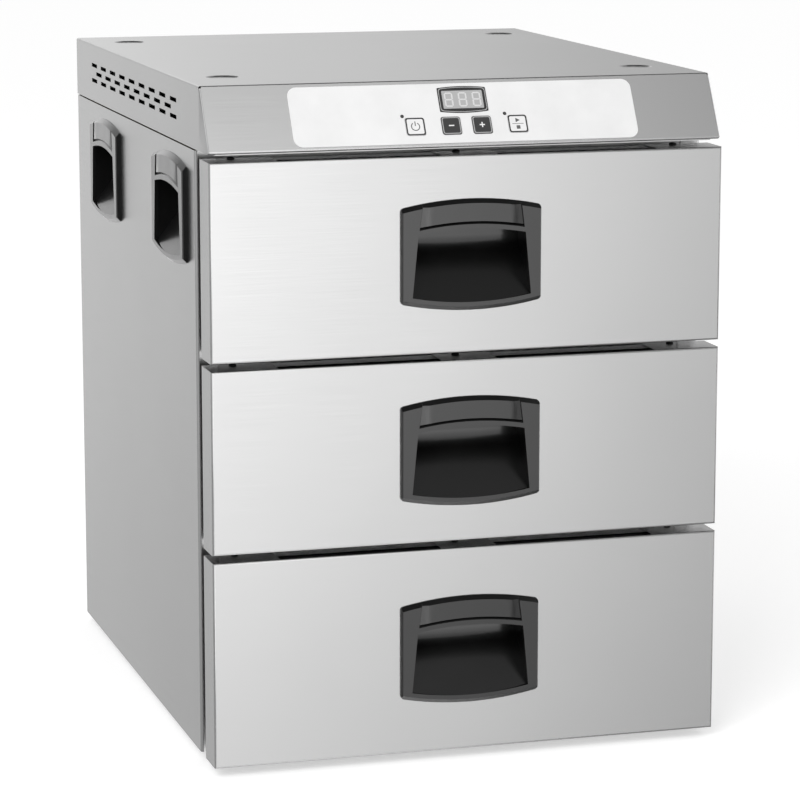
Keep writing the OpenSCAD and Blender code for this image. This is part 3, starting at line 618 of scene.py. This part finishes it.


# Painted shade for the cross recesses in the heads of the case screws

def add_painted_recess_shade():
    """A cross of painted shade on each head of the two columns of screws in the back, standing in for the
    shade inside the cross recess.
    """
    low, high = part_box("case_screws")
    head_r = 4 * MM
    rows = 4
    turned = Matrix.Rotation(math.radians(-90), 4, "X")
    arm, thick = 3.4 * MM, 0.8 * MM
    stub = (arm - thick) / 2
    cross = [[bar(arm, thick)]] + [[bar(thick, stub, y=side * (thick + stub) / 2)] for side in (-1, 1)]
    step = (high.z - low.z - 2 * head_r) / (rows - 1)

    def build(shape):
        for x in (low.x + head_r, high.x - head_r):
            for k in range(rows):
                place = Matrix.Translation((x, high.y, low.z + head_r + k * step)) @ turned
                for loops in cross:
                    add_plate(shape, place, loops, INK_LOW, INK_HIGH / 2)

    add_piece("painted_recess_shade", build, black_oxide_and_shade, "cabinet")


add_key_borders()
add_key_marks()
add_display()
add_tab_screws()
add_painted_recess_shade()


# Floor, light and camera

FLOOR_GLOW = 0.45
AMBIENT = 0.62
FRONT_LEVEL = 1.30
BACK_LEVEL = 1.0

# Light of the studio's front and back walls, as (component of the direction, value)
FRONT_X = ((-0.95, 0.4), (-0.75, 0.4), (-0.5, 0.32), (-0.36, 0.07), (-0.16, 0.05), (-0.06, 0.85),
           (0.03, 1.25), (0.12, 1.42), (0.2, 1.18), (0.25, 1.11), (0.30, 0.88), (0.38, 0.35),
           (0.48, 0.18), (0.62, 0.6), (0.8, 0.8))
FRONT_Z = ((-0.8, 0.6), (-0.45, 0.45), (-0.29, 0.56), (-0.12, 1.10), (0.02, 0.93), (0.12, 0.77),
           (0.3, 0.66), (0.55, 0.68), (0.79, 0.74), (0.84, 0.43), (0.89, 0.06))
BACK_X = ((-0.9, 0.4), (-0.65, 0.45), (-0.5, 0.32), (-0.4, 0.3), (-0.24, 0.5), (-0.16, 0.9),
          (-0.05, 1.05), (0.14, 1.03), (0.25, 0.79), (0.37, 0.55), (0.5, 0.5), (0.65, 0.65), (0.9, 0.7))
BACK_Z = ((-0.8, 0.4), (-0.45, 0.6), (-0.29, 0.8), (-0.12, 1.02), (0.0, 1.0), (0.08, 0.92),
          (0.2, 0.85), (0.5, 0.66), (0.8, 0.33), (0.95, 0.12))

# The back wall fades into the front wall between these components along Y
WALL_BLEND = (0.3, -0.3)

# Direction of the panel high on the left, the cosines between which it fades in, and its light
LEFT_PANEL = Vector((-0.64, -0.36, 0.68)).normalized()
LEFT_EDGE = (0.89, 0.97)
LEFT_LEVEL = 0.6

LAMP_PLACE = Vector((-2.6, -3.4, 2.8))
LAMP_TARGET = Vector((0, 0, 0.35))
LAMP_SIZE = (2.4, 2.4)
LAMP_POWER = 110


def mixed(tree, factor, first, second):
    """Mixes two numbers, which are sockets or constants, by a factor socket."""
    made = add_node(tree, "ShaderNodeMix", data_type="FLOAT")
    join(tree, factor, made.inputs[MIX_FACTOR])
    for k, value in zip(MIX_NUMBERS, (first, second)):
        if isinstance(value, (int, float)):
            made.inputs[k].default_value = value
        else:
            join(tree, value, made.inputs[k])
    return made.outputs[MIX_NUMBER_OUT]


def curve(tree, source, stops):
    """A smooth curve through (direction component, value) stops, for components from -1 to 1."""
    ramp = add_node(tree, "ShaderNodeValToRGB")
    ramp.color_ramp.interpolation = "EASE"
    elements = ramp.color_ramp.elements
    while len(elements) < len(stops):
        elements.new(0.5)
    for element, (component, value) in zip(elements, stops):
        element.position = (component + 1) / 2
        element.color = grey(value)
    join(tree, spread(tree, source, 0.0, 1.0, -1.0, 1.0), ramp.inputs["Fac"])
    return ramp.outputs["Color"]


def add_floor():
    """White floor that keeps the shadow; reflections look past it into the studio."""
    half = 40
    mesh = bpy.data.meshes.new("floor")
    corners = [(-half, -half, 0), (half, -half, 0), (half, half, 0), (-half, half, 0)]
    mesh.from_pydata(corners, [], [(0, 1, 2, 3)])
    floor = bpy.data.objects.new("floor", mesh)
    bpy.context.scene.collection.objects.link(floor)
    material, tree, shader = new_material("floor", Roughness=0.9, Base_Color=grey(0.85),
                                          Specular_IOR_Level=0.0)
    path = add_node(tree, "ShaderNodeLightPath")
    glow = add_node(tree, "ShaderNodeEmission", Color=grey(1.0), Strength=FLOOR_GLOW)
    lit = add_node(tree, "ShaderNodeAddShader")
    clear = add_node(tree, "ShaderNodeBsdfTransparent")
    seen = add_node(tree, "ShaderNodeMixShader")
    reflected = add_node(tree, "ShaderNodeMixShader")
    join(tree, shader.outputs[0], lit.inputs[0])
    join(tree, glow.outputs[0], lit.inputs[1])
    join(tree, path.outputs["Is Camera Ray"], seen.inputs["Fac"])
    join(tree, shader.outputs[0], seen.inputs[1])
    join(tree, lit.outputs[0], seen.inputs[2])
    join(tree, mirrored_rays(tree, path), reflected.inputs["Fac"])
    join(tree, seen.outputs[0], reflected.inputs[1])
    join(tree, clear.outputs[0], reflected.inputs[2])
    join(tree, reflected.outputs[0], tree.nodes["Material Output"].inputs["Surface"])
    mesh.materials.append(material)


def add_world():
    """Soft studio: bright walls in front and behind, a panel high on the left, darker corners and ceiling."""
    world = bpy.data.worlds.new("studio")
    bpy.context.scene.world = world
    world.use_nodes = True
    tree = world.node_tree
    sky = tree.nodes["Background"]
    direction = add_node(tree, "ShaderNodeTexCoord").outputs["Generated"]
    axes = add_node(tree, "ShaderNodeSeparateXYZ")
    join(tree, direction, axes.inputs[0])
    x, y, z = axes.outputs

    ahead = smooth_step(tree, y, *WALL_BLEND)
    across_light = mixed(tree, ahead, curve(tree, x, BACK_X), curve(tree, x, FRONT_X))
    height_light = mixed(tree, ahead, curve(tree, z, BACK_Z), curve(tree, z, FRONT_Z))
    wall_level = mixed(tree, ahead, BACK_LEVEL, FRONT_LEVEL)
    walls = combined(tree, "MULTIPLY", combined(tree, "MULTIPLY", across_light, height_light), wall_level)
    panel = smooth_step(tree, cosine_to(tree, direction, LEFT_PANEL), *LEFT_EDGE, high=LEFT_LEVEL)
    studio = combined(tree, "ADD", walls, panel)

    path = add_node(tree, "ShaderNodeLightPath")
    reflected = mixed(tree, mirrored_rays(tree, path), AMBIENT, studio)
    seen = mixed(tree, path.outputs["Is Camera Ray"], reflected, 1.0)
    join(tree, seen, sky.inputs["Strength"])
    sky.inputs["Color"].default_value = grey(1.0)


def add_lamp():
    """Soft lamp from the front left, which reflections don't show."""
    lamp = bpy.data.lights.new("key_light", "AREA")
    lamp.shape = "RECTANGLE"
    lamp.size, lamp.size_y = LAMP_SIZE
    lamp.energy = LAMP_POWER
    obj = bpy.data.objects.new("key_light", lamp)
    obj.location = LAMP_PLACE
    obj.rotation_euler = (LAMP_TARGET - LAMP_PLACE).to_track_quat("-Z", "Y").to_euler()
    obj.visible_camera = False
    obj.visible_glossy = False
    bpy.context.scene.collection.objects.link(obj)


def add_camera():
    """The photograph's view: a long lens from the front left, a little above."""
    image_pixels = 800
    focal_pixels = 3333.3
    yaw, pitch = math.radians(16.29), math.radians(10.656)
    data = bpy.data.cameras.new("camera")
    data.sensor_width = 36
    data.lens = focal_pixels * data.sensor_width / image_pixels
    data.clip_end = 200
    camera = bpy.data.objects.new("camera", data)
    camera.location = (-0.9293, -3.2678, 0.931)
    camera.rotation_euler = (math.pi / 2 - pitch, 0, -yaw)
    bpy.context.scene.collection.objects.link(camera)
    bpy.context.scene.camera = camera


add_floor()
add_world()
add_lamp()
add_camera()
bpy.context.scene.view_settings.view_transform = "Standard"
